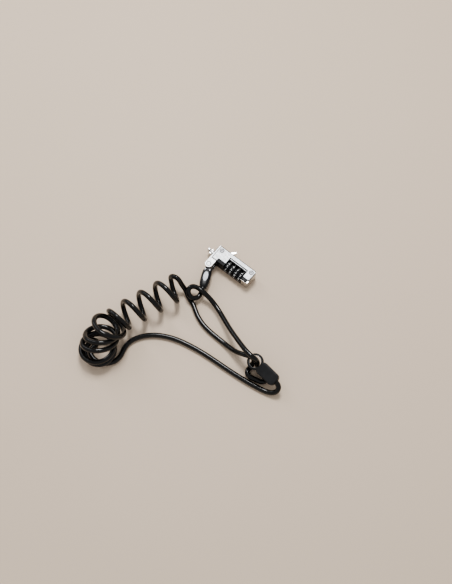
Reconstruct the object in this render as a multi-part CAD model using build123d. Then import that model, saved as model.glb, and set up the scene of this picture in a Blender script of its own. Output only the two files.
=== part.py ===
from build123d import *
import math
import os

# A four-wheel combination lock for the security slot of a laptop, with its coiled
# steel cable. Millimetres. The origin is the middle of the lock body's flat underside.
# +X runs along the body away from the laptop, +Y to its back edge, +Z up.
# Everything rests on the plane z = 0.

os.makedirs("parts", exist_ok=True)

# ---------------------------------------------------------------- driving dimensions
FIT = 0.02                      # gap left between pieces that are clamped or pressed
RUN = 0.05                      # radial gap of a piece that turns or slides

# lock body
BODY_LENGTH = 42.7
BODY_BACK = 7.5                 # back face, y
BODY_FRONT = -7.0               # front face, y
BODY_HEIGHT = 12.5
COVER_THICK = 1.3
COVER_SEAM = 0.25               # open seam between the cover and the arm's web
COVER_INSET = 0.3               # ledge of casting left showing round the cover
ARM_THICK = 1.2                 # upright web of the cable arm
COVER_FRONT = -3.9              # front edge of the cover beside the wheels, y
LOBE_WIDTH = 5.6                # part of the cover that reaches the front face
END_RADIUS = 1.8                # corners at the far end
UNDER_RADIUS = 1.6              # edges of the underside

# number wheels
WHEEL_PITCH = 5.06
WHEEL_COUNT = 4
WHEEL_WIDTH = 4.6
WHEEL_FLAT = 5.0                # from the axis to each of the ten flats
FIRST_WHEEL_X = -3.34
WHEEL_Y = -3.0
AXIS_Z = 6.4                    # height of every shaft that runs along X
DIGITS = 10
BAY_RADIUS = 5.45               # hollow the wheels turn in
WINDOW_BACK = 3.4               # back edge of the window in the cover, y
SPACER_THICK = 0.36
SLEEVE_RADIUS = 3.3
SLEEVE_BORE = 2.1
JOURNAL_RADIUS = 2.9            # ends of a code sleeve, turning in the spacers

# slot anchor
TBAR_Y = -0.7
COLLAR_RADIUS = 2.2
COLLAR_LENGTH = 3.6
SHANK_RADIUS = 1.2
BARREL_RADIUS = 2.4
SLOT_WALL = 2.3                 # space between the collar and the T head
HEAD_LONG = 6.4                 # the T head passes a slot of 3 by 7
HEAD_SHORT = 2.6
HEAD_THICK = 1.7

# release
RELEASE_TRAVEL = 3.2            # sliding this far turns the T head a quarter turn
PIN_RADIUS = 0.5                # follower that rides in the barrel's groove
GROOVE_RADIUS = 0.65
PIN_REST_X = -14.9

# cable arm and cable end
RIVET_X = -17.85
RIVET_Y = -13.7
RIVET_RADIUS = 1.5
EAR_RADIUS = 3.5
EAR_THICK = 2.2
TONGUE_THICK = 6.5
FERRULE_ANGLE = -64.0           # direction of the cable end, from +X
CABLE_RADIUS = 2.25
JACKET_BORE = 1.6
CORE_RADIUS = 1.4

# loop at the far end of the cable
LOOP_EYE = (73.5, -59.5, 10.5)
LOOP_TURN = -7.0                # direction of the loop's long axis, from +X
LOOP_ROLL = 18.0
EYE_RADIUS = 5.6                # hole of the moulded loop
EYELET_THICK = 0.3              # steel eyelet that lines it
EYE_RIM = 1.7
EYE_THICK = 3.6
GRIP_FROM = 4.7                 # where the block begins, from the eye's centre
LOOP_WIDTH = 11.5
LOOP_THICK = 7.5
LOOP_REACH = 25.5               # from the eye's centre to the far end
CRIMP_RADIUS = 2.3
CRIMP_FROM = 9.0
CRIMP_TO = 22.2

# ---------------------------------------------------------------- derived places
LEFT = -BODY_LENGTH / 2
RIGHT = BODY_LENGTH / 2
HOUSING_LEFT = LEFT + ARM_THICK + RUN
COVER_UNDER = BODY_HEIGHT - COVER_THICK
WHEEL_XS = [FIRST_WHEEL_X + i * WHEEL_PITCH for i in range(WHEEL_COUNT)]
SPACER_XS = [FIRST_WHEEL_X + (i - 0.5) * WHEEL_PITCH for i in range(WHEEL_COUNT + 1)]
BAY_LEFT = SPACER_XS[0] - SPACER_THICK / 2 - FIT
BAY_RIGHT = SPACER_XS[-1] + SPACER_THICK / 2 + FIT
COLLAR_END = LEFT - COLLAR_LENGTH
HEAD_X = COLLAR_END - SLOT_WALL
BARREL_LEFT = HOUSING_LEFT + 0.2
BARREL_RIGHT = -13.4
GROOVE_DEPTH_R = BARREL_RADIUS - 0.3     # radius at which the groove's centre runs


# ---------------------------------------------------------------- helpers
def block(x0, x1, y0, y1, z0, z1):
    """Box from its two opposite corners."""
    size = (x1 - x0, y1 - y0, z1 - z0)
    middle = ((x0 + x1) / 2, (y0 + y1) / 2, (z0 + z1) / 2)
    return Pos(*middle) * Box(*size)


def rod_x(radius, x0, x1, y=WHEEL_Y, z=AXIS_Z):
    """Cylinder along X."""
    return Pos((x0 + x1) / 2, y, z) * Rot(0, 90, 0) * Cylinder(radius, x1 - x0)


def rod_z(radius, z0, z1, x, y):
    """Upright cylinder."""
    return Pos(x, y, (z0 + z1) / 2) * Cylinder(radius, z1 - z0)


def prism_z(points, z0, z1):
    """Outline in plan, raised from z0 to z1."""
    outline = make_face(Polyline(points, close=True))
    return extrude(Pos(0, 0, z0) * outline, amount=z1 - z0, dir=(0, 0, 1))


def edges_at(shape, axis, *places):
    """Edges parallel to axis whose middle lies near one of the places."""
    found = []
    for edge in shape.edges().filter_by(axis):
        middle = edge @ 0.5
        for place in places:
            if (middle - Vector(*place)).length < 0.6:
                found.append(edge)
    return found


def save(name, *solids):
    """Write one node; several solids in it are one group."""
    shape = solids[0] if len(solids) == 1 else Compound(children=list(solids))
    export_step(shape, f"parts/{name}.step")


# ---------------------------------------------------------------- lock body
def cover_outline():
    """Plan of the cover: a plate with a lobe at the laptop end and a window notch."""
    left = HOUSING_LEFT + COVER_SEAM
    lobe_right = HOUSING_LEFT + LOBE_WIDTH
    right = RIGHT - COVER_INSET
    back = BODY_BACK - COVER_INSET
    return [
        (left, BODY_FRONT + COVER_INSET),
        (lobe_right, BODY_FRONT + COVER_INSET),
        (lobe_right + 0.5, COVER_FRONT),
        (BAY_LEFT, COVER_FRONT),
        (BAY_LEFT, WINDOW_BACK),
        (BAY_RIGHT - 0.25, WINDOW_BACK),
        (BAY_RIGHT - 0.25, COVER_FRONT),
        (right, COVER_FRONT),
        (right, back),
        (left, back),
    ]


SCREW_PLACES = [(-16.75, 4.1, 9.0), (17.95, 3.9, 4.0)]      # x, y and depth of the tip
SCREW_HEAD_RADIUS = 1.95
SCREW_HEAD_THICK = 0.8
SCREW_RADIUS = 0.9
RESET_X = 17.4
RESET_Y = 2.4
FRAME_LEFT = HOUSING_LEFT + LOBE_WIDTH + 0.1
FRAME_RIGHT = 20.2
FRAME_FRONT = BODY_FRONT + 0.45  # front edge beyond the wheels, behind the casting's wall
FRAME_INNER = BODY_FRONT + 1.6
FRAME_FOOT = 1.75
FRAME_TOP = BODY_HEIGHT - 0.3
SLIDER_Y = (3.45, 6.15)
SLIDER_Z = (4.9, 7.9)
SLIDER_X = (-16.2, -6.9)
LINK_X = (-8.6, -7.2)
SPRING_END_X = 20.15


def lower_housing():
    """Die-cast body, open on top, with a hollow for each moving piece."""
    body = block(HOUSING_LEFT, RIGHT, BODY_FRONT, BODY_BACK, 0, COVER_UNDER)
    far_edges = edges_at(body, Axis.Z, (RIGHT, BODY_BACK, COVER_UNDER / 2),
                         (RIGHT, BODY_FRONT, COVER_UNDER / 2))
    body = fillet(far_edges, END_RADIUS)
    under = body.faces().sort_by(Axis.Z)[0].edges().filter_by(
        lambda e: (e @ 0.5).X > HOUSING_LEFT + 0.5)
    body = fillet(under, UNDER_RADIUS)
    # wheel bay, open at the front and on top
    body -= rod_x(BAY_RADIUS, BAY_LEFT, BAY_RIGHT)
    body -= block(BAY_LEFT, BAY_RIGHT, -9, WHEEL_Y, AXIS_Z + 1.2, 13)
    body -= block(BAY_LEFT, BAY_RIGHT, WHEEL_Y, 1.6, AXIS_Z + 3, 13)
    # seat of the wheel frame
    body -= block(FRAME_LEFT - FIT, BAY_RIGHT + FIT, -9, FRAME_INNER + FIT, FRAME_FOOT - FIT, 13)
    body -= block(FRAME_LEFT - FIT, FRAME_RIGHT + FIT, FRAME_FRONT - FIT, COVER_FRONT + 0.6, 8.85, 13)
    body -= block(BAY_LEFT - 0.05, FRAME_RIGHT + FIT, COVER_FRONT, 4.5, 8.85, 13)
    # slots that key the spacers, and the hollow of the detent spring
    for x in SPACER_XS:
        half = SPACER_THICK / 2 + FIT
        body -= block(x - half, x + half, 2.0, 3.3, 5.8, 7.0)
    body -= block(BAY_LEFT + 0.2, BAY_RIGHT - 0.2, 0.9, 3.15, 1.25, 5.2)
    # bore of the T-bar barrel and of its tail
    body -= rod_x(BARREL_RADIUS + RUN, HOUSING_LEFT - 1, BARREL_RIGHT + 0.1, TBAR_Y)
    body -= rod_x(SHANK_RADIUS + RUN, BARREL_RIGHT, -12.3, TBAR_Y)
    # slot for the follower, channel of the slider and room for its link
    body -= block(PIN_REST_X - RELEASE_TRAVEL - 0.7, PIN_REST_X + 0.7, 1.0, 3.5, 5.75, 7.05)
    body -= block(SLIDER_X[0] - RELEASE_TRAVEL - 0.15, SLIDER_X[1] + 0.1,
                  SLIDER_Y[0] - 0.07, SLIDER_Y[1] + 0.07, SLIDER_Z[0] - 0.07, SLIDER_Z[1] + 0.07)
    body -= block(-12.3, BAY_LEFT + 1, -4.9, 3.5, 4.6, 8.86)
    # slot in the back wall for the neck of the thumb piece
    body -= block(-17.7, -9.9, 6.0, BODY_BACK + 1, 5.1, 7.7)
    # return spring hollow and the spindle's far bearing
    body -= rod_x(2.3, BAY_RIGHT + 0.6, 20.6)
    body -= block(BAY_RIGHT + 0.6, 20.6, WHEEL_Y - 1.6, WHEEL_Y + 1.6, AXIS_Z, 9)
    body -= rod_x(1.25 + RUN, BAY_RIGHT - 1, BAY_RIGHT + 1)
    # code-set screw: stepped hole from the underside
    body -= rod_z(1.6 + RUN, -1, 1.2, RESET_X, RESET_Y)
    body -= rod_z(2.1 + RUN, 1.2, 2.0, RESET_X, RESET_Y)
    body -= rod_z(1.0 + RUN, 2.0, 4.0, RESET_X, RESET_Y)
    # screw holes
    for x, y, tip in SCREW_PLACES:
        body -= rod_z(SCREW_RADIUS + FIT, tip - 0.3, 13, x, y)
    return body


def top_cover():
    """Flat steel plate with the wheel window and two countersunk screw seats."""
    plate = prism_z(cover_outline(), COVER_UNDER + FIT, BODY_HEIGHT)
    middle = (COVER_UNDER + BODY_HEIGHT) / 2
    plate = fillet(edges_at(plate, Axis.Z, (RIGHT, BODY_BACK, middle)), END_RADIUS)
    plate = fillet(edges_at(plate, Axis.Z, (RIGHT, COVER_FRONT, middle)), 0.9)
    top = plate.faces().sort_by(Axis.Z)[-1]
    plate = chamfer(top.edges().filter_by(lambda e: (e @ 0.5).X > HOUSING_LEFT + 0.1), 0.25)
    for x, y, tip in SCREW_PLACES:
        plate -= rod_z(SCREW_HEAD_RADIUS + 0.22, BODY_HEIGHT - SCREW_HEAD_THICK - FIT, 13, x, y)
        plate -= rod_z(SCREW_RADIUS + 0.1, 10, 13, x, y)
    return plate


def wheel_frame():
    """Black moulded frame round the wheels; it also forms the front face beside them."""
    under_cover = COVER_UNDER - FIT
    frame = block(FRAME_LEFT, BAY_RIGHT, BODY_FRONT, FRAME_INNER, FRAME_FOOT, under_cover)
    frame += block(FRAME_LEFT, FRAME_RIGHT, FRAME_FRONT, COVER_FRONT + 0.5, 8.9, under_cover)
    frame += block(BAY_LEFT, FRAME_RIGHT, COVER_FRONT, 4.4, 8.9, under_cover)
    # raised rim beside the cover, nearly flush with it
    frame += block(FRAME_LEFT + 0.5, BAY_RIGHT, BODY_FRONT + 0.15, COVER_FRONT - 0.1, 11, FRAME_TOP)
    frame += block(BAY_RIGHT - 0.5, FRAME_RIGHT, FRAME_FRONT, COVER_FRONT - 0.1, 11, FRAME_TOP)
    frame += block(BAY_LEFT + 0.1, BAY_RIGHT - 0.35, 1.4, WINDOW_BACK - 0.1, 11, FRAME_TOP - 0.2)
    # shallow panel in the rim at the laptop end
    frame -= block(FRAME_LEFT + 1.3, BAY_LEFT - 1.0, BODY_FRONT + 0.8, COVER_FRONT - 0.8, 11.9, 13)
    frame -= rod_x(BAY_RADIUS, BAY_LEFT + FIT, BAY_RIGHT + 0.01)
    frame -= block(BAY_LEFT + FIT, BAY_RIGHT + 0.01, -9, 1.4, 8, 13)
    x, y, tip = SCREW_PLACES[1]
    return frame - rod_z(1.6, 8, 13, x, y)


def index_line():
    """Thin bright strip along the back of the window that the digits are read against."""
    y = WINDOW_BACK - 1.25
    top = FRAME_TOP - 0.2
    return block(BAY_LEFT + 0.4, BAY_RIGHT - 0.6, y, y + 0.55, top + FIT, top + 0.2)


def housing_screw(x, y, tip):
    """Small screw with a cross recess."""
    top = BODY_HEIGHT - 0.05
    head = rod_z(SCREW_HEAD_RADIUS, BODY_HEIGHT - SCREW_HEAD_THICK, top, x, y)
    head = chamfer(head.faces().sort_by(Axis.Z)[-1].edges(), 0.15)
    screw = head + rod_z(SCREW_RADIUS, tip, BODY_HEIGHT - SCREW_HEAD_THICK, x, y)
    for turn in (0, 90):
        slot = Pos(x, y, top) * Rot(0, 0, turn + 20) * Box(2.2, 0.42, 0.9)
        screw -= slot
    return screw


# ---------------------------------------------------------------- wheels and code sleeves
def number_wheel(x):
    """Ten-sided wheel with a shallow finger groove at each corner."""
    corner = WHEEL_FLAT / math.cos(math.pi / DIGITS)
    half_step = 180 / DIGITS
    outline = Plane.YZ * Rot(0, 0, half_step) * RegularPolygon(corner, DIGITS)
    wheel = extrude(outline, amount=WHEEL_WIDTH / 2, both=True)
    rims = wheel.edges().filter_by(lambda e: abs((e @ 0.5).X) > WHEEL_WIDTH / 2 - 0.01)
    wheel = chamfer(rims, 0.3)
    for i in range(DIGITS):
        angle = math.radians(i * 360 / DIGITS + 90 + half_step)
        groove_r = corner + 0.28
        at = Pos(0, groove_r * math.cos(angle), groove_r * math.sin(angle))
        wheel -= at * Rot(0, 90, 0) * Cylinder(0.5, WHEEL_WIDTH + 1)
    wheel -= Rot(0, 90, 0) * Cylinder(SLEEVE_RADIUS + 0.1, WHEEL_WIDTH + 1)
    for i in range(DIGITS):
        key_way = Rot(i * 360 / DIGITS, 0, 0) * Pos(0, 0, SLEEVE_RADIUS + 0.2)
        wheel -= key_way * Box(WHEEL_WIDTH + 1, 0.9, 0.9)
    return Pos(x, WHEEL_Y, AXIS_Z) * wheel


def code_sleeve(x):
    """Sleeve inside a wheel: one key outside, one gate through its wall."""
    length = WHEEL_PITCH - 0.2
    sleeve = Rot(0, 90, 0) * Cylinder(SLEEVE_RADIUS, WHEEL_WIDTH)
    sleeve += Rot(0, 90, 0) * Cylinder(JOURNAL_RADIUS, length)
    sleeve += Pos(0, 0, SLEEVE_RADIUS) * Box(WHEEL_WIDTH - 0.4, 0.7, 0.6)
    sleeve -= Rot(0, 90, 0) * Cylinder(SLEEVE_BORE, length + 1)
    sleeve -= Rot(144, 0, 0) * Pos(WHEEL_WIDTH / 4, 0, SLEEVE_BORE + 0.5) * Box(WHEEL_WIDTH / 2, 0.9, 3)
    return Pos(x, WHEEL_Y, AXIS_Z) * sleeve


def wheel_spacer(x):
    """Thin plate between two wheels, keyed to the housing's back wall."""
    half = SPACER_THICK / 2
    plate = rod_x(4.0, x - half, x + half)
    plate += block(x - half, x + half, WHEEL_Y - 0.9, WHEEL_Y + 0.9, 1.1, AXIS_Z)
    plate += block(x - half, x + half, WHEEL_Y, 3.2, 5.9, 6.9)
    return plate - rod_x(JOURNAL_RADIUS + RUN, x - 1, x + 1)


def detent_spring():
    """Leaf spring with a rounded bump under each wheel, which clicks into its flats."""
    spring = block(BAY_LEFT + 0.6, BAY_RIGHT - 0.6, 2.75, 3.05, 1.5, 4.9)
    for x in WHEEL_XS:
        spring += rod_x(0.85, x - 1.4, x + 1.4, 2.3, 3.1)
    for x in SPACER_XS[1:-1]:
        spring -= block(x - 0.5, x + 0.5, 2, 4, 2.4, 6)
    return spring


# ---------------------------------------------------------------- slot anchor
def tbar():
    """T head, shank and barrel. The barrel's groove turns it as the slider moves."""
    bar = rod_x(SHANK_RADIUS, HEAD_X, BARREL_LEFT, TBAR_Y)
    head = block(HEAD_X - HEAD_THICK, HEAD_X, TBAR_Y - HEAD_SHORT / 2, TBAR_Y + HEAD_SHORT / 2,
                 AXIS_Z - HEAD_LONG / 2, AXIS_Z + HEAD_LONG / 2)
    bar += fillet(head.edges().filter_by(Axis.X), 0.7)
    bar += rod_x(BARREL_RADIUS, BARREL_LEFT, BARREL_RIGHT, TBAR_Y)
    bar += rod_x(SHANK_RADIUS, BARREL_RIGHT, -12.45, TBAR_Y)
    # a quarter turn of helix, from the follower's rest place towards the laptop
    steps = 16
    for i in range(-1, steps + 2):
        part = i / steps
        x = PIN_REST_X - RELEASE_TRAVEL * part
        turn = -90 * part
        ball = Pos(x, TBAR_Y, AXIS_Z) * Rot(turn, 0, 0) * Pos(0, GROOVE_DEPTH_R, 0)
        bar -= ball * Sphere(GROOVE_RADIUS)
    return bar


def slot_collar():
    """Nose that stands off the laptop, with two lugs that fill the slot's ends."""
    collar = rod_x(COLLAR_RADIUS, COLLAR_END, LEFT - FIT, TBAR_Y)
    for side in (-1, 1):
        y = TBAR_Y + side * 1.85
        collar += block(COLLAR_END - 1.5, COLLAR_END + 0.6, y - 0.4, y + 0.4,
                        AXIS_Z - 1.1, AXIS_Z + 1.1)
    return collar - rod_x(SHANK_RADIUS + RUN, COLLAR_END - 3, LEFT + 1, TBAR_Y)


def slot_cushion():
    """Rubber pad that keeps the metal off the laptop's side."""
    pad = block(LEFT - 1.0, LEFT - FIT, -6.4, 6.4, 2.0, 10.8)
    pad = fillet(pad.edges().filter_by(Axis.X), 2.0)
    return pad - rod_x(COLLAR_RADIUS + 0.05, LEFT - 3, LEFT + 1, TBAR_Y)


# ---------------------------------------------------------------- release
def release_slider():
    """Bar along the back wall with the thumb fin, the follower and the spindle link."""
    slider = block(*SLIDER_X, *SLIDER_Y, *SLIDER_Z)
    slider += block(*LINK_X, -4.6, SLIDER_Y[0] + 0.5, 5.0, 7.7)
    slider += block(-14.0, -10.2, 6.0, BODY_BACK + 0.15, 5.2, 7.6)
    # follower with a ball end
    slider += Pos(PIN_REST_X, (SLIDER_Y[0] + TBAR_Y + GROOVE_DEPTH_R) / 2, AXIS_Z) * Rot(
        90, 0, 0) * Cylinder(PIN_RADIUS, SLIDER_Y[0] - TBAR_Y - GROOVE_DEPTH_R)
    slider += Pos(PIN_REST_X, TBAR_Y + GROOVE_DEPTH_R, AXIS_Z) * Sphere(PIN_RADIUS)
    # thumb fin: a long slope on the laptop side, steep and hooked on the other
    root = BODY_BACK + 0.1
    slope = Spline((-13.4, root + 0.5), (-10.6, root + 1.9), (-8.6, root + 4.3),
                   (-6.8, root + 5.4))
    hook = Spline((-6.8, root + 5.4), (-6.4, root + 4.8), (-7.0, root + 3.2), (-8.2, root))
    fin = make_face([slope, hook, Line((-8.2, root), (-13.4, root)),
                     Line((-13.4, root), (-13.4, root + 0.5))])
    fin = extrude(Pos(0, 0, 4.9) * fin, amount=3.0, dir=(0, 0, 1))
    slider += fin
    return slider - rod_x(1.0 + FIT, LINK_X[0] - 1, LINK_X[1] + 1)


def locking_spindle():
    """Spindle through the code sleeves, with one fence lug for each wheel."""
    spindle = rod_x(1.0, LINK_X[0], LINK_X[1] + 0.1)
    spindle += rod_x(1.25, LINK_X[1] + 0.1, SPRING_END_X)
    for x in WHEEL_XS:
        spindle += rod_x(1.95, x + 1.3, x + 1.9)
    return spindle + rod_x(1.9, SPRING_END_X, SPRING_END_X + 0.4)


def return_spring():
    """Coil spring between the far bearing and the spindle's collar."""
    wire = 0.15
    start = BAY_RIGHT + 0.6 + wire + 0.03
    length = SPRING_END_X - start - wire - 0.03
    coil = Helix(pitch=length / 3, height=length, radius=1.7)
    section = Plane(coil @ 0, z_dir=coil % 0) * Circle(wire)
    spring = sweep(section, path=coil)
    return Pos(start, WHEEL_Y, AXIS_Z) * Rot(0, 90, 0) * spring


def code_set_screw():
    """Slotted screw in the underside, turned a quarter turn to change the code."""
    screw = rod_z(1.6, 0.25, 1.25, RESET_X, RESET_Y)
    screw += rod_z(2.1, 1.25, 1.95, RESET_X, RESET_Y)
    screw += rod_z(1.0, 1.95, 3.9, RESET_X, RESET_Y)
    return screw - block(RESET_X - 2, RESET_X + 2, RESET_Y - 0.3, RESET_Y + 0.3, 0, 0.85)


# ---------------------------------------------------------------- cable arm
def cable_arm():
    """Steel bracket: a web across the laptop end and two ears for the cable's pivot."""
    web = block(LEFT, LEFT + ARM_THICK, RIVET_Y + 4.5, BODY_BACK, 0.4, BODY_HEIGHT)
    arm = web
    pad_right = RIVET_X + EAR_RADIUS
    for z0 in (0.4, BODY_HEIGHT - EAR_THICK):
        ear = block(LEFT, pad_right, RIVET_Y, BODY_FRONT - 0.3, z0, z0 + EAR_THICK)
        ear += rod_z(EAR_RADIUS, z0, z0 + EAR_THICK, RIVET_X, RIVET_Y)
        arm += ear
    for z0, z1 in ((0.4, 1.0), (BODY_HEIGHT - 0.6, BODY_HEIGHT)):
        arm -= rod_z(2.22, z0 - 0.01, z1 + 0.01, RIVET_X, RIVET_Y)
    arm -= rod_z(RIVET_RADIUS + FIT, -1, 14, RIVET_X, RIVET_Y)
    arm -= rod_x(SHANK_RADIUS + RUN, LEFT - 1, LEFT + 2, TBAR_Y)
    return arm


def pivot_rivet():
    rivet = rod_z(RIVET_RADIUS, 0.5, BODY_HEIGHT - 0.1, RIVET_X, RIVET_Y)
    for z0, z1 in ((0.42, 0.98), (BODY_HEIGHT - 0.58, BODY_HEIGHT - 0.02)):
        rivet += rod_z(2.0, z0, z1, RIVET_X, RIVET_Y)
    return rivet


def pivot_washer(z0):
    washer = rod_z(3.0, z0, z0 + 0.5, RIVET_X, RIVET_Y)
    return washer - rod_z(RIVET_RADIUS + FIT, z0 - 1, z0 + 2, RIVET_X, RIVET_Y)


# ---------------------------------------------------------------- ferrule
def along_ferrule(distance, lift=0.0):
    """Frame whose Z runs along the cable end; distance is from the rivet."""
    angle = math.radians(FERRULE_ANGLE)
    way = Vector(math.cos(angle), math.sin(angle), 0)
    origin = Vector(RIVET_X, RIVET_Y, AXIS_Z + lift) + way * distance
    return Plane(origin, x_dir=(0, 0, 1), z_dir=way)


SOCKET_RADIUS = 2.5
SOCKET_FROM = 7.0
SOCKET_TO = 15.0
BOOT_FROM = 4.0
BOOT_TO = 22.0


def ferrule_eye():
    """Flat tongue that turns on the rivet, with a socket for the wire rope."""
    half = TONGUE_THICK / 2
    eye = rod_z(3.1, AXIS_Z - half, AXIS_Z + half, RIVET_X, RIVET_Y)
    tongue = extrude(along_ferrule(0) * Rectangle(TONGUE_THICK, 5.0), amount=SOCKET_FROM + 0.8)
    eye += tongue
    eye += extrude(along_ferrule(SOCKET_FROM) * Circle(SOCKET_RADIUS), amount=SOCKET_TO - SOCKET_FROM)
    eye -= rod_z(RIVET_RADIUS + RUN, 0, 14, RIVET_X, RIVET_Y)
    return eye - extrude(along_ferrule(SOCKET_FROM + 1) * Circle(CORE_RADIUS + FIT), amount=20)


BOOT_STATIONS = [               # distance from the rivet, height and width
    (BOOT_FROM, 6.3, 7.4), (7.5, 7.2, 8.8), (15.0, 7.2, 8.8), (19.5, 6.6, 7.8),
    (BOOT_TO, 5.6, 6.0),
]
INLAY_FROM = 7.2
INLAY_TO = 16.6
INLAY_WIDTH = 4.4
INLAY_PROUD = 0.10


def boot_skin(grow=0.0):
    """Outer form of the boot, optionally a little larger all round."""
    sections = []
    for distance, tall, wide in BOOT_STATIONS:
        shape = RectangleRounded(tall + 2 * grow, wide + 2 * grow, 0.42 * tall + grow)
        sections.append(along_ferrule(distance) * shape)
    return loft(sections, ruled=False)


def inlay_column(grow=0.0):
    """Upright oval column over the boot's upper face."""
    length = INLAY_TO - INLAY_FROM
    oval = extrude(Ellipse(length / 2 + grow, INLAY_WIDTH / 2 + grow), amount=4)
    middle = along_ferrule((INLAY_FROM + INLAY_TO) / 2).origin
    return Pos(middle.X, middle.Y, AXIS_Z + TONGUE_THICK / 2 + 0.05) * Rot(0, 0, FERRULE_ANGLE) * oval


def ferrule_inlay():
    """Plain oval badge plate let into the boot."""
    return inlay_column() & boot_skin(INLAY_PROUD)


def ferrule_boot():
    """Moulded sleeve over the socket, oval in section and narrower at the cable."""
    boot = boot_skin() - inlay_column(FIT)
    grown = extrude(along_ferrule(0) * Rectangle(TONGUE_THICK + 2 * FIT, 5.0 + 2 * FIT),
                    amount=SOCKET_FROM + 0.8 + FIT)
    boot -= grown
    boot -= extrude(along_ferrule(SOCKET_FROM) * Circle(SOCKET_RADIUS + FIT),
                    amount=SOCKET_TO + FIT - SOCKET_FROM)
    return boot - extrude(along_ferrule(SOCKET_TO - 1) * Circle(CABLE_RADIUS + FIT), amount=20)


# ---------------------------------------------------------------- cable route
# The cable leaves the ferrule, curls once, runs through the eye of its own end loop,
# turns back on itself under the loop, and comes back to the coil. The coil stands on
# its side, then leans over and lies down; its end sweeps round to the end loop.
START = along_ferrule(BOOT_TO + 0.3).origin
CURL = [
    (-6.9, -36.6, 6.1), (-5.9, -41.0, 5.5), (-6.5, -45.3, 6.0), (-9.5, -47.8, 7.4),
    (-13.5, -47.0, 8.6), (-16.3, -43.5, 9.6), (-15.0, -40.0, 10.3), (-11.0, -38.2, 10.7),
    (-6.0, -38.0, 10.9), (1.5, -38.0, 8.5), (12.0, -39.8, 6.3), (24.5, -44.5, 7.2),
    (37.5, -50.3, 11.2), (48.0, -54.7, 16.0), (57.5, -58.3, 20.0), (62.5, -59.8, 21.2),
    (67.0, -60.6, 21.7), (71.0, -60.8, 21.7), (74.1, -60.3, 19.2), (75.7, -60.0, 15.4),
    (76.0, -59.8, 10.8), (76.3, -60.0, 6.8), (78.0, -60.5, 3.6),
]
BIGHT = [
    (81.5, -61.0, 2.5), (86.0, -61.8, 2.4), (89.3, -64.6, 2.4), (87.4, -68.2, 2.4),
    (83.5, -69.5, 2.7), (79.0, -71.0, 3.4), (75.0, -71.0, 4.0), (72.3, -68.6, 3.9),
    (72.0, -65.4, 3.2), (71.8, -62.2, 3.6), (71.1, -59.2, 6.6), (71.0, -59.2, 10.5),
    (70.4, -59.2, 13.6), (68.3, -59.8, 15.7),
]
RETURN = [
    (64.4, -61.3, 15.2), (59.0, -62.2, 12.0), (54.0, -62.4, 8.2), (47.5, -62.0, 4.6),
    (39.0, -61.5, 2.8), (27.0, -61.2, 2.4), (14.5, -59.8, 2.4), (3.5, -55.8, 2.4),
    (-6.0, -50.5, 2.4), (-13.0, -48.0, 2.6), (-18.5, -45.5, 5.5),
    (-24.0, -45.0, 12.2), (-28.3, -45.0, 18.0),
]
# coil: turn number, centre x, y, z, radius, heading and downward tilt of the axis
COIL = [
    (-0.5, -21.2, -41.6, 13.8, 11.6, -108, 0), (0.0, -24.0, -49.5, 13.9, 11.6, -108, 0),
    (1.0, -29.5, -65.0, 13.9, 11.6, -108, 0), (2.0, -35.0, -81.0, 14.0, 11.6, -108, 0),
    (2.5, -37.6, -88.7, 14.0, 11.6, -108, 0), (3.0, -40.0, -96.5, 14.2, 11.6, -108, 0),
    (3.5, -41.5, -104.0, 17.5, 11.6, -108, 3),
    (4.0, -42.0, -111.5, 17.0, 12.0, -108, 14), (4.5, -39.0, -118.0, 28.0, 12.5, -107, 42),
    (5.0, -43.0, -121.5, 24.0, 13.0, -107, 55), (5.5, -43.5, -126.0, 24.5, 13.5, -85, 56),
    (6.0, -42.5, -129.5, 21.0, 13.2, -60, 64), (6.5, -42.0, -131.0, 17.0, 14.0, -56, 61),
    (7.0, -40.5, -135.0, 18.5, 13.8, -55, 60), (7.5, -40.0, -137.0, 13.5, 13.8, -70, 79),
    (8.0, -41.0, -138.0, 8.0, 14.4, -80, 85), (8.5, -40.0, -138.0, 7.7, 14.2, -80, 91),
    (9.0, -40.5, -137.5, 4.1, 11.3, -80, 90),
]
COIL_FROM = 0.0
COIL_STEP = 1 / 12
SWEEP_BACK = [
    (-51.0, -132.5, 2.4), (-47.0, -134.0, 2.4), (-46.5, -138.5, 2.4), (-46.0, -142.5, 2.4),
    (-40.5, -145.5, 2.4), (-33.5, -145.0, 2.4), (-28.0, -142.0, 2.4), (-23.5, -136.0, 2.4),
    (-23.0, -128.5, 2.4), (-25.5, -117.5, 2.4), (-22.0, -105.5, 2.4), (-12.5, -95.0, 2.4),
    (2.0, -87.0, 2.4), (18.5, -82.5, 2.4), (35.5, -80.0, 2.4), (54.5, -78.5, 2.4),
    (70.5, -77.0, 2.4), (80.5, -75.7, 2.4), (90.0, -74.0, 2.4), (97.5, -72.0, 2.8),
    (103.0, -68.6, 5.4), (103.3, -64.9, 9.0),
]


def on_loop_axis(distance):
    """Point on the end loop's long axis; distance is from the eye's centre."""
    angle = math.radians(LOOP_TURN)
    return (LOOP_EYE[0] + distance * math.cos(angle), LOOP_EYE[1] + distance * math.sin(angle),
            LOOP_EYE[2])


def coil_stations():
    """Splines through the coil table, one for each of its columns."""
    turns = [row[0] for row in COIL]
    columns = []
    for i in range(1, 7):
        columns.append(natural_spline(turns, [row[i] for row in COIL]))
    return columns


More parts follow.
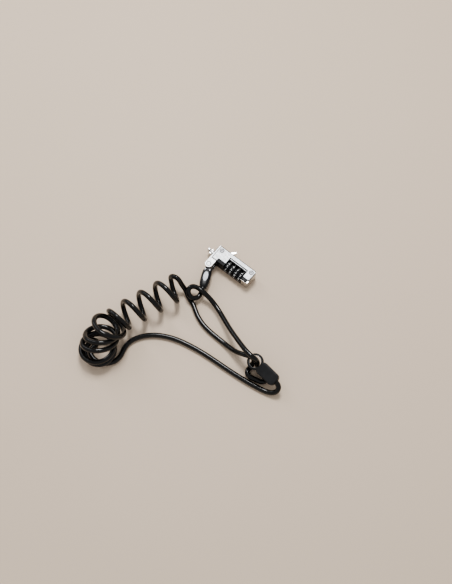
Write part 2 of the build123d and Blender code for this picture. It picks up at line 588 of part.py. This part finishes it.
def natural_spline(xs, ys):
    """Cubic spline through the points, with no bending at its two ends."""
    n = len(xs)
    gap = [xs[i + 1] - xs[i] for i in range(n - 1)]
    upper = [0.0] * n
    right = [0.0] * n
    for i in range(1, n - 1):
        slope = (ys[i + 1] - ys[i]) / gap[i] - (ys[i] - ys[i - 1]) / gap[i - 1]
        pivot = 2 * (gap[i - 1] + gap[i]) - gap[i - 1] * upper[i - 1]
        upper[i] = gap[i] / pivot
        right[i] = (6 * slope - gap[i - 1] * right[i - 1]) / pivot
    bend = [0.0] * n
    for i in range(n - 2, 0, -1):
        bend[i] = right[i] - upper[i] * bend[i + 1]

    def value(x):
        i = max(k for k in range(n - 1) if xs[k] <= x or k == 0)
        a = xs[i + 1] - x
        b = x - xs[i]
        h = gap[i]
        curve = (bend[i] * a ** 3 + bend[i + 1] * b ** 3) / (6 * h)
        line = (ys[i] / h - bend[i] * h / 6) * a + (ys[i + 1] / h - bend[i + 1] * h / 6) * b
        return curve + line

    return value


def coil_point(turn, columns):
    """Point of the coil; turn 0 is the far side of the first ring."""
    x, y, z, radius, heading, tilt = [column(turn) for column in columns]
    heading = math.radians(heading)
    tilt = math.radians(tilt)
    ahead = Vector(math.cos(heading) * math.cos(tilt), math.sin(heading) * math.cos(tilt),
                   -math.sin(tilt))
    side = Vector(math.sin(heading), -math.cos(heading), 0)
    down = ahead.cross(side)
    phase = 2 * math.pi * turn
    return Vector(x, y, z) + side * (radius * math.cos(phase)) + down * (radius * math.sin(phase))


def cable_points():
    """All points the cable's centre line passes through."""
    points = [START] + [Vector(*p) for p in CURL]
    points += [Vector(*p) for p in BIGHT]
    points += [Vector(*p) for p in RETURN]
    columns = coil_stations()
    count = round((COIL[-1][0] - COIL_FROM) / COIL_STEP)
    points += [coil_point(COIL_FROM + i * COIL_STEP, columns) for i in range(count + 1)]
    points += [Vector(*p) for p in SWEEP_BACK]
    return points + [Vector(*on_loop_axis(LOOP_REACH + 0.3))]


ARC_PAIRS = 220                 # pairs of tangent arcs the centre line is drawn with


def arc_pair(start, start_way, end, end_way):
    """Two arcs tangent to each other, from start to end with the given directions."""
    chord = end - start
    both = start_way + end_way
    a = 2 * (1 - start_way.dot(end_way))
    b = 2 * chord.dot(both)
    c = -chord.dot(chord)
    reach = -c / b if a < 1e-9 else (-b + math.sqrt(b * b - 4 * a * c)) / (2 * a)
    first = start + start_way * reach
    second = end - end_way * reach
    middle = (first + second) * 0.5
    pair = []
    for p, way, q in ((start, start_way, middle), (middle, (second - first).normalized(), end)):
        straight = (q - p).normalized().dot(way) > 0.9999999
        pair.append(Edge.make_line(p, q) if straight else Edge.make_tangent_arc(p, way, q))
    return pair


def cable_path(start_extra, end_extra):
    """Centre line of the cable as tangent arcs, with its two straight ends."""
    points = cable_points()
    places = [0.0]
    for a, b in zip(points, points[1:]):
        places.append(places[-1] + math.sqrt((b - a).length))
    places = [p / places[-1] for p in places]
    line = Edge.make_spline(points, parameters=places)
    stops = [line.position_at(k / ARC_PAIRS) for k in range(ARC_PAIRS + 1)]
    ways = [line.tangent_at(k / ARC_PAIRS) for k in range(ARC_PAIRS + 1)]
    ways[0] = along_ferrule(0).z_dir
    ways[-1] = (Vector(*on_loop_axis(0)) - Vector(*on_loop_axis(1))).normalized()
    edges = [Edge.make_line(stops[0] - ways[0] * start_extra, stops[0])]
    for k in range(ARC_PAIRS):
        edges += arc_pair(stops[k], ways[k], stops[k + 1], ways[k + 1])
    edges.append(Edge.make_line(stops[-1], stops[-1] + ways[-1] * end_extra))
    return Wire(edges)


def swept(path, section):
    return sweep(Plane(path @ 0, z_dir=path % 0) * section, path=path)


def cable_jacket():
    path = cable_path(BOOT_TO - SOCKET_TO, LOOP_REACH - CRIMP_TO)
    return swept(path, Circle(CABLE_RADIUS) - Circle(JACKET_BORE))


def cable_core():
    """Wire rope, bare for a short way inside the ferrule and the end loop."""
    path = cable_path(BOOT_TO - SOCKET_FROM - 1.2, LOOP_REACH - CRIMP_FROM - 1.0)
    return swept(path, Circle(CORE_RADIUS))


# ---------------------------------------------------------------- end loop
LOOP_PLACE = Pos(*LOOP_EYE) * Rot(0, 0, LOOP_TURN) * Rot(LOOP_ROLL, 0, 0)


def rod_loop(radius, x0, x1):
    """Cylinder along the loop's long axis."""
    return Pos((x0 + x1) / 2, 0, 0) * Rot(0, 90, 0) * Cylinder(radius, x1 - x0)


def end_loop_body():
    """Moulded block with a flat ring for an eye."""
    width = LOOP_WIDTH
    middle = (GRIP_FROM + LOOP_REACH) / 2
    plan = Pos(middle, 0) * RectangleRounded(LOOP_REACH - GRIP_FROM, width, 3.9)
    grip = extrude(plan, amount=LOOP_THICK / 2, both=True)
    rims = grip.edges().filter_by(lambda e: abs(abs((e @ 0.5).Z) - LOOP_THICK / 2) < 0.01)
    grip = fillet(rims, 1.3)
    ring = Cylinder(EYE_RADIUS + EYE_RIM, EYE_THICK)
    ring = fillet(ring.edges().filter_by(GeomType.CIRCLE), 0.9)
    body = grip + ring
    body -= Cylinder(EYE_RADIUS, 20)
    body -= rod_loop(CRIMP_RADIUS + FIT, CRIMP_FROM - FIT, CRIMP_TO + FIT)
    body -= rod_loop(CABLE_RADIUS + FIT, CRIMP_TO - 1, LOOP_REACH + 1)
    body -= rod_loop(CABLE_RADIUS + 0.7, LOOP_REACH - 1.5, LOOP_REACH + 1)
    return LOOP_PLACE * body


def end_loop_eyelet():
    ring = Cylinder(EYE_RADIUS - FIT, EYE_THICK) - Cylinder(EYE_RADIUS - EYELET_THICK, 20)
    return LOOP_PLACE * ring


def end_crimp():
    tube = rod_loop(CRIMP_RADIUS, CRIMP_FROM, CRIMP_TO)
    return LOOP_PLACE * (tube - rod_loop(CORE_RADIUS + FIT, 0, 40))


# ---------------------------------------------------------------- write the nodes
save("lower_housing", lower_housing())
save("top_cover", top_cover())
save("wheel_frame", wheel_frame())
save("index_line", index_line())
save("housing_screws", *[housing_screw(*place) for place in SCREW_PLACES])
for number, wheel_x in enumerate(WHEEL_XS, start=1):
    save(f"number_wheel_{number}", number_wheel(wheel_x))
    save(f"code_sleeve_{number}", code_sleeve(wheel_x))
save("wheel_spacers", *[wheel_spacer(x) for x in SPACER_XS])
save("detent_spring", detent_spring())
save("tbar", tbar())
save("slot_collar", slot_collar())
save("slot_cushion", slot_cushion())
save("release_slider", release_slider())
save("locking_spindle", locking_spindle())
save("return_spring", return_spring())
save("code_set_screw", code_set_screw())
save("cable_arm", cable_arm())
save("pivot_rivet", pivot_rivet())
save("pivot_washers", pivot_washer(0.4 + EAR_THICK + 0.03), pivot_washer(BODY_HEIGHT - EAR_THICK - 0.53))
save("ferrule_eye", ferrule_eye())
save("ferrule_boot", ferrule_boot())
save("ferrule_inlay", ferrule_inlay())
save("cable_jacket", cable_jacket())
save("cable_core", cable_core())
save("end_loop_body", end_loop_body())
save("end_loop_eyelet", end_loop_eyelet())
save("end_crimp", end_crimp())
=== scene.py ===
import math

import bpy
from mathutils import Matrix, Vector


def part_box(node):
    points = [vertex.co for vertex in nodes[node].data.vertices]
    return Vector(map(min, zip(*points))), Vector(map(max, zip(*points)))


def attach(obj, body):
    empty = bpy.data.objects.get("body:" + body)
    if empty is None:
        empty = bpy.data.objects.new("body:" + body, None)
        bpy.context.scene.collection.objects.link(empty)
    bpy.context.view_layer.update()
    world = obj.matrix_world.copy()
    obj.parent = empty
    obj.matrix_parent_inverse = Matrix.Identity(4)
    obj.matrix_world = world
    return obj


# Looks for the laptop cable lock. Metres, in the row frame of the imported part.

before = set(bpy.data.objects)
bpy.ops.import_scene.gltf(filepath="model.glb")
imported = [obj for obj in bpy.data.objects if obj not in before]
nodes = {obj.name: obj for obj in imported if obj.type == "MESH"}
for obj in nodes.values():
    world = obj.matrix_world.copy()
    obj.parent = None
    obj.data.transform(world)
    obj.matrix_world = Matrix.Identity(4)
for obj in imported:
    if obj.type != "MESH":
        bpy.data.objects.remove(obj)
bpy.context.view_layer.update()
MM = 0.001


# ---------------------------------------------------------------- material helpers
class Shader:
    """A procedural material built round one Principled node."""

    def __init__(self, name, color, metallic=0.0, roughness=0.4, **inputs):
        self.material = bpy.data.materials.new(name)
        self.material.use_nodes = True
        self.material.diffuse_color = (*color, 1.0)
        self.tree = self.material.node_tree
        self.main = self.tree.nodes["Principled BSDF"]
        self.place = self.node("ShaderNodeTexCoord").outputs["Object"]
        self.set("Base Color", (*color, 1.0))
        self.set("Metallic", metallic)
        self.set("Roughness", roughness)
        for key, value in inputs.items():
            self.set(key.replace("_", " "), value)
        self.normal = None

    def node(self, kind):
        return self.tree.nodes.new(kind)

    def link(self, source, target):
        self.tree.links.new(source, target)

    def set(self, key, value):
        self.main.inputs[key].default_value = value

    def stretched(self, scale):
        """Object coordinates multiplied by a different number on each axis."""
        mapping = self.node("ShaderNodeMapping")
        mapping.inputs["Scale"].default_value = scale
        self.link(self.place, mapping.inputs["Vector"])
        return mapping.outputs["Vector"]

    def noise(self, scale, detail=4.0, rough=0.55, stretch=None):
        noise = self.node("ShaderNodeTexNoise")
        noise.inputs["Scale"].default_value = scale
        noise.inputs["Detail"].default_value = detail
        noise.inputs["Roughness"].default_value = rough
        source = self.stretched(stretch) if stretch else self.place
        self.link(source, noise.inputs["Vector"])
        return noise.outputs["Fac"]

    def ramp(self, fac, low, high, low_at=0.0, high_at=1.0):
        """Maps a factor to a range of plain numbers."""
        mapper = self.node("ShaderNodeMapRange")
        mapper.inputs["From Min"].default_value = low_at
        mapper.inputs["From Max"].default_value = high_at
        mapper.inputs["To Min"].default_value = low
        mapper.inputs["To Max"].default_value = high
        self.link(fac, mapper.inputs["Value"])
        return mapper.outputs["Result"]

    def colors(self, fac, first, second, low_at=0.3, high_at=0.7):
        ramp = self.node("ShaderNodeValToRGB")
        ramp.color_ramp.elements[0].position = low_at
        ramp.color_ramp.elements[0].color = (*first, 1.0)
        ramp.color_ramp.elements[1].position = high_at
        ramp.color_ramp.elements[1].color = (*second, 1.0)
        self.link(fac, ramp.inputs["Fac"])
        return ramp.outputs["Color"]

    def vary_roughness(self, low, high, scale=900, stretch=None):
        fac = self.noise(scale, stretch=stretch)
        self.link(self.ramp(fac, low, high, 0.3, 0.7), self.main.inputs["Roughness"])

    def vary_color(self, first, second, scale=300, stretch=None):
        fac = self.noise(scale, stretch=stretch)
        self.link(self.colors(fac, first, second), self.main.inputs["Base Color"])

    def soft_edges(self, radius):
        """Rounds the shading of sharp edges."""
        bevel = self.node("ShaderNodeBevel")
        bevel.samples = 6
        bevel.inputs["Radius"].default_value = radius
        self.normal = bevel.outputs["Normal"]
        self.link(self.normal, self.main.inputs["Normal"])

    def bump(self, height, distance, strength=1.0):
        bump = self.node("ShaderNodeBump")
        bump.inputs["Distance"].default_value = distance
        bump.inputs["Strength"].default_value = strength
        self.link(height, bump.inputs["Height"])
        if self.normal:
            self.link(self.normal, bump.inputs["Normal"])
        self.normal = bump.outputs["Normal"]
        self.link(self.normal, self.main.inputs["Normal"])

    def crevices(self, reach, color):
        """Painted shade: darkens the base colour where ambient occlusion finds seams, recesses
        and round fasteners.
        """
        shade = self.node("ShaderNodeAmbientOcclusion")
        shade.samples = 8
        shade.inputs["Distance"].default_value = reach
        crevice_shade = self.ramp(shade.outputs["AO"], 1.0, 0.0, 0.30, 0.72)
        self.mix_color(crevice_shade, color)

    def mix_color(self, factor, color):
        mix = self.node("ShaderNodeMix")
        mix.data_type = "RGBA"
        self.link(factor, mix.inputs["Factor"])
        old = self.main.inputs["Base Color"]
        if old.links:
            self.link(old.links[0].from_socket, mix.inputs["A"])
        else:
            mix.inputs["A"].default_value = old.default_value
        mix.inputs["B"].default_value = (*color, 1.0)
        self.link(mix.outputs["Result"], old)


# ---------------------------------------------------------------- materials
def satin_chrome(name, color, low, high):
    chrome = Shader(name, color, metallic=1.0, roughness=low)
    chrome.vary_roughness(low, high, 700)
    chrome.vary_color(tuple(c * 0.96 for c in color), color, 180)
    chrome.soft_edges(0.18 * MM)
    chrome.bump(chrome.noise(5200, 3.0), 0.004 * MM, 0.35)
    # painted shade: the chrome's colour goes near black in seams, recesses and round fasteners
    chrome.crevices(0.6 * MM, (0.02, 0.02, 0.02))
    return chrome.material


def brushed_steel(name, color, low, high):
    steel = Shader(name, color, metallic=1.0, roughness=low, Anisotropic=0.4)
    steel.vary_roughness(low, high, 500, (1, 14, 14))
    steel.vary_color(tuple(c * 0.88 for c in color), color, 260)
    steel.soft_edges(0.12 * MM)
    steel.bump(steel.noise(900, 4.0, stretch=(1, 16, 16)), 0.006 * MM, 0.4)
    return steel.material


def moulded(name, color, low, high, grain, depth):
    plastic = Shader(name, color, roughness=low)
    plastic.set("Specular IOR Level", 0.32)
    plastic.vary_roughness(low, high, 420)
    plastic.vary_color(tuple(c * 0.8 for c in color), tuple(c * 1.25 for c in color), 240)
    plastic.soft_edges(0.22 * MM)
    plastic.bump(plastic.noise(grain, 3.0), depth, 0.6)
    return plastic.material


def vinyl():
    """Glossy cable jacket: nearly smooth, with faint drawing marks and handling haze."""
    jacket = Shader("cable_vinyl", (0.005, 0.004, 0.004), roughness=0.12)
    jacket.set("Specular IOR Level", 0.5)
    jacket.vary_roughness(0.09, 0.17, 160)
    jacket.vary_color((0.003, 0.003, 0.003), (0.007, 0.006, 0.005), 90)
    jacket.bump(jacket.noise(650, 3.0), 0.012 * MM, 0.35)
    return jacket.material


cast_chrome = satin_chrome("cast_chrome", (0.60, 0.58, 0.55), 0.15, 0.26)
cover_chrome = satin_chrome("cover_chrome", (0.44, 0.445, 0.45), 0.38, 0.48)
arm_chrome = satin_chrome("arm_chrome", (0.40, 0.40, 0.40), 0.32, 0.42)
polished = satin_chrome("polished_chrome", (0.60, 0.59, 0.58), 0.16, 0.26)
screw_steel = brushed_steel("screw_steel", (0.24, 0.24, 0.25), 0.34, 0.46)
plain_steel = brushed_steel("plain_steel", (0.60, 0.60, 0.60), 0.25, 0.40)
dark_steel = brushed_steel("dark_steel", (0.24, 0.24, 0.25), 0.30, 0.44)
brass = brushed_steel("turned_brass", (0.80, 0.60, 0.28), 0.22, 0.36)
black_frame = moulded("black_moulding", (0.010, 0.010, 0.011), 0.42, 0.56, 3800, 0.006 * MM)
wheel_black = moulded("wheel_plastic", (0.010, 0.010, 0.011), 0.18, 0.30, 2600, 0.006 * MM)
boot_black = moulded("boot_moulding", (0.013, 0.013, 0.014), 0.22, 0.38, 3000, 0.010 * MM)
grip_black = moulded("grip_moulding", (0.020, 0.020, 0.021), 0.36, 0.52, 4200, 0.016 * MM)
rubber = moulded("soft_rubber", (0.022, 0.022, 0.022), 0.6, 0.8, 2400, 0.02 * MM)
inlay_silver = moulded("inlay_plastic", (0.72, 0.74, 0.78), 0.25, 0.4, 3000, 0.004 * MM)
# near-black matte that stands in for the shade inside the lock's seams and fastener gaps
seam_shade_black = moulded("painted_seam_shade", (0.006, 0.006, 0.006), 0.6, 0.75, 3000, 0.003 * MM)
ink_white = moulded("numeral_paint", (0.86, 0.86, 0.84), 0.35, 0.5, 3000, 0.003 * MM)
jacket_vinyl = vinyl()

MATERIAL_OF = {
    "lower_housing": cast_chrome,
    "top_cover": cover_chrome,
    "cable_arm": arm_chrome,
    "slot_collar": polished,
    "release_slider": polished,
    "housing_screws": screw_steel,
    "pivot_rivet": arm_chrome,
    "end_loop_eyelet": polished,
    "ferrule_eye": dark_steel,
    "index_line": cover_chrome,
    "wheel_frame": black_frame,
    "wheel_spacers": black_frame,
    "ferrule_boot": boot_black,
    "ferrule_inlay": inlay_silver,
    "end_loop_body": grip_black,
    "cable_jacket": jacket_vinyl,
    "slot_cushion": rubber,
    "code_set_screw": brass,
}
for name, piece in nodes.items():
    if name.startswith("number_wheel"):
        look = wheel_black
    elif name.startswith("code_sleeve"):
        look = brass
    else:
        look = MATERIAL_OF.get(name, plain_steel)
    piece.data.materials.clear()
    piece.data.materials.append(look)


# ---------------------------------------------------------------- numerals on the wheels
DIGITS = 10
WHEEL_AXIS = Vector((0.0, -3.0, 6.4)) * MM
WHEEL_FLAT = 5.0 * MM
NUMERAL_HEIGHT = 3.7 * MM
NUMERAL_DEPTH = 0.035 * MM
NUMERAL_WEIGHT = 0.12 * MM
TOP_DIGITS = (3, 7, 1, 5)


def numeral_mesh(digit):
    curve = bpy.data.curves.new(f"numeral_{digit}", "FONT")
    curve.body = str(digit)
    curve.size = NUMERAL_HEIGHT
    curve.align_x = "CENTER"
    curve.align_y = "CENTER"
    curve.extrude = NUMERAL_DEPTH
    curve.offset = NUMERAL_WEIGHT
    curve.resolution_u = 6
    carrier = bpy.data.objects.new("numeral_carrier", curve)
    bpy.context.scene.collection.objects.link(carrier)
    bpy.context.view_layer.update()
    shaped = carrier.evaluated_get(bpy.context.evaluated_depsgraph_get())
    mesh = bpy.data.meshes.new_from_object(shaped)
    bpy.data.objects.remove(carrier)
    return mesh


def facet_matrix(x, angle):
    """Place on a wheel's flat: X along the shaft, Z out of the flat."""
    across = Vector((0, math.sin(angle), -math.cos(angle)))
    out = Vector((0, math.cos(angle), math.sin(angle)))
    centre = Vector((x, WHEEL_AXIS.y, WHEEL_AXIS.z)) + out * WHEEL_FLAT
    turn = Matrix((Vector((1, 0, 0)), across, out)).transposed().to_4x4()
    return Matrix.Translation(centre) @ turn


def join(name, meshes, material):
    """One object from placed meshes."""
    vertices = []
    faces = []
    for mesh in meshes:
        start = len(vertices)
        vertices += [tuple(v.co) for v in mesh.vertices]
        faces += [[start + i for i in polygon.vertices] for polygon in mesh.polygons]
    joined = bpy.data.meshes.new(name)
    joined.from_pydata(vertices, [], faces)
    joined.materials.append(material)
    piece = bpy.data.objects.new(name, joined)
    bpy.context.scene.collection.objects.link(piece)
    return piece


numerals = [numeral_mesh(digit) for digit in range(DIGITS)]
for number in range(1, 5):
    low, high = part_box(f"number_wheel_{number}")
    x = (low.x + high.x) / 2
    placed = []
    for i in range(DIGITS):
        angle = math.radians(90 + i * 360 / DIGITS)
        mesh = numerals[(TOP_DIGITS[number - 1] + i) % DIGITS].copy()
        mesh.transform(facet_matrix(x, angle))
        placed.append(mesh)
    ring = join(f"wheel_numerals_{number}", placed, ink_white)
    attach(ring, f"wheel_{number}")


# ---------------------------------------------------------------- painted shade in the seams of the lock body
SEAM_DROP = 0.01 * MM           # the painted-shade strips lie this far below the faces beside them
RIVET_GAP = (1.68 * MM, 2.21 * MM)
SCREW_HEAD = 1.95 * MM
SHADE_STRIP_THICK = 0.4 * MM
SEAM_THICK = 0.24 * MM
COVER_FRONT = -2.9 * MM         # where the painted-shade strip stops short of the wheel frame
CORNER_STEPS = 12
SCREW_GAP = (1.6 * MM, 2.16 * MM)
LEDGE = (-0.22 * MM, 0.28 * MM)  # from the cover's bevel to the casting's outline
CORNER = 1.8 * MM               # the cover's rounded far corner


def band(inner, outer, low, high, closed):
    """Solid strip between two paths that have the same number of points."""
    count = len(inner)
    vertices = [(x, y, z) for z in (low, high) for path in (inner, outer) for x, y in path]
    faces = []
    for i in range(count if closed else count - 1):
        j = (i + 1) % count
        a, b, c, d = i, j, j + count, i + count
        top = 2 * count
        faces.append((d, c, b, a))
        faces.append((a + top, b + top, c + top, d + top))
        faces.append((a, b, b + top, a + top))
        faces.append((c, d, d + top, c + top))
    if not closed:
        top = 2 * count
        last = count - 1
        faces.append((0, top, top + count, count))
        faces.append((last, last + count, last + count + top, last + top))
    mesh = bpy.data.meshes.new("band")
    mesh.from_pydata(vertices, [], faces)
    return mesh


def circle(centre, radius, count=64):
    turns = [2 * math.pi * i / count for i in range(count)]
    return [(centre[0] + radius * math.cos(t), centre[1] + radius * math.sin(t)) for t in turns]


def cover_edge(low, high, beyond):
    """Path along the cover's back edge, round its far corner and down its far end."""
    path = [(low.x, high.y + beyond)]
    for i in range(CORNER_STEPS + 1):
        turn = math.radians(90 - 90 * i / CORNER_STEPS)
        x = high.x - CORNER + (CORNER + beyond) * math.cos(turn)
        y = high.y - CORNER + (CORNER + beyond) * math.sin(turn)
        path.append((x, y))
    path.append((high.x + beyond, COVER_FRONT))
    return path


def ring_filling(centre, gap, face):
    """Painted shade: a dark strip in the round gap between a fastener's head and its seat."""
    inner, outer = [circle(centre, radius) for radius in gap]
    return band(inner, outer, face - SHADE_STRIP_THICK, face - SEAM_DROP, True)


cover_low, cover_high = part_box("top_cover")
screws_low, screws_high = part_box("housing_screws")
rivet_low, rivet_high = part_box("pivot_rivet")
face = cover_high.z
screw_centres = (
    (screws_low.x + SCREW_HEAD, screws_high.y - SCREW_HEAD),
    (screws_high.x - SCREW_HEAD, screws_low.y + SCREW_HEAD),
)
rivet_centre = ((rivet_low.x + rivet_high.x) / 2, (rivet_low.y + rivet_high.y) / 2)
# dark strips painted in as the shade in the screw gaps, along the cover's ledge and along the
# cover's near seam
shade_strips = [ring_filling(centre, SCREW_GAP, face) for centre in screw_centres]
edge = [cover_edge(cover_low, cover_high, beyond) for beyond in LEDGE]
shade_strips.append(band(edge[0], edge[1], face - SEAM_THICK, face - SEAM_DROP, False))
seam_x = (cover_low.x - 0.24 * MM, cover_low.x + 0.2 * MM)
seam_y = (cover_low.y, cover_high.y)
seam = [[(x, y) for y in seam_y] for x in seam_x]
shade_strips.append(band(seam[1], seam[0], face - SEAM_THICK, face - SEAM_DROP, False))
lines = join("cover_seam_painted_shade", shade_strips, seam_shade_black)
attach(lines, "lock_head")

# dark strip painted in as the shade in the gap round the rivet
rivet_ring = ring_filling(rivet_centre, RIVET_GAP, face)
rivet_line = join("rivet_seam_painted_shade", [rivet_ring], seam_shade_black)
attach(rivet_line, "lock_head")


# ---------------------------------------------------------------- floor, light and camera
def floor_material():
    pale = Shader("pale_floor", (0.88, 0.71, 0.55), roughness=0.6)
    pale.vary_color((0.87, 0.70, 0.54), (0.89, 0.72, 0.56), 3)
    return pale.material


floor_mesh = bpy.data.meshes.new("floor")
floor_mesh.from_pydata([(-3, -3, 0), (3, -3, 0), (3, 3, 0), (-3, 3, 0)], [], [(0, 1, 2, 3)])
floor_mesh.materials.append(floor_material())
floor = bpy.data.objects.new("floor", floor_mesh)
bpy.context.scene.collection.objects.link(floor)


def area_light(name, place, target, width, height, power, color=(1, 1, 1)):
    data = bpy.data.lights.new(name, "AREA")
    data.shape = "RECTANGLE"
    data.size = width
    data.size_y = height
    data.energy = power
    data.color = color
    lamp = bpy.data.objects.new(name, data)
    lamp.location = place
    lamp.rotation_euler = (Vector(target) - Vector(place)).to_track_quat("-Z", "Y").to_euler()
    bpy.context.scene.collection.objects.link(lamp)
    return lamp


area_light("softbox_above", (-0.31, 0.39, 1.15), (0, -0.03, 0), 0.34, 0.34, 4.8)
area_light("softbox_left", (-1.0, 0.1, 0.75), (0, -0.06, 0), 0.16, 0.9, 1.2, (0.97, 0.98, 1.0))

world = bpy.data.worlds.new("studio")
world.use_nodes = True
world.node_tree.nodes["Background"].inputs["Color"].default_value = (0.97, 0.98, 1.0, 1)
world.node_tree.nodes["Background"].inputs["Strength"].default_value = 0.28
bpy.context.scene.world = world

CAMERA_PLACE = Vector((0.18525, -0.2421, 0.650))
CAMERA_HEADING = math.radians(38.6)
CAMERA_DOWN = math.radians(66.51)
CAMERA_ROLL = math.radians(1.02)
LENS = 47.65


def add_camera():
    ahead = Vector((-math.sin(CAMERA_HEADING), math.cos(CAMERA_HEADING), 0))
    level = Vector((math.cos(CAMERA_HEADING), math.sin(CAMERA_HEADING), 0))
    forward = ahead * math.cos(CAMERA_DOWN) - Vector((0, 0, math.sin(CAMERA_DOWN)))
    upright = level.cross(forward)
    right = level * math.cos(CAMERA_ROLL) + upright * math.sin(CAMERA_ROLL)
    up = upright * math.cos(CAMERA_ROLL) - level * math.sin(CAMERA_ROLL)
    data = bpy.data.cameras.new("camera")
    data.lens = LENS
    data.clip_start = 0.01
    camera = bpy.data.objects.new("camera", data)
    turn = Matrix((right, up, -forward)).transposed().to_4x4()
    camera.matrix_world = Matrix.Translation(CAMERA_PLACE) @ turn
    bpy.context.scene.collection.objects.link(camera)
    bpy.context.scene.camera = camera


add_camera()
bpy.context.scene.view_settings.view_transform = "AgX"
bpy.context.scene.view_settings.look = "AgX - Medium High Contrast"
bpy.context.scene.view_settings.exposure = 0.75
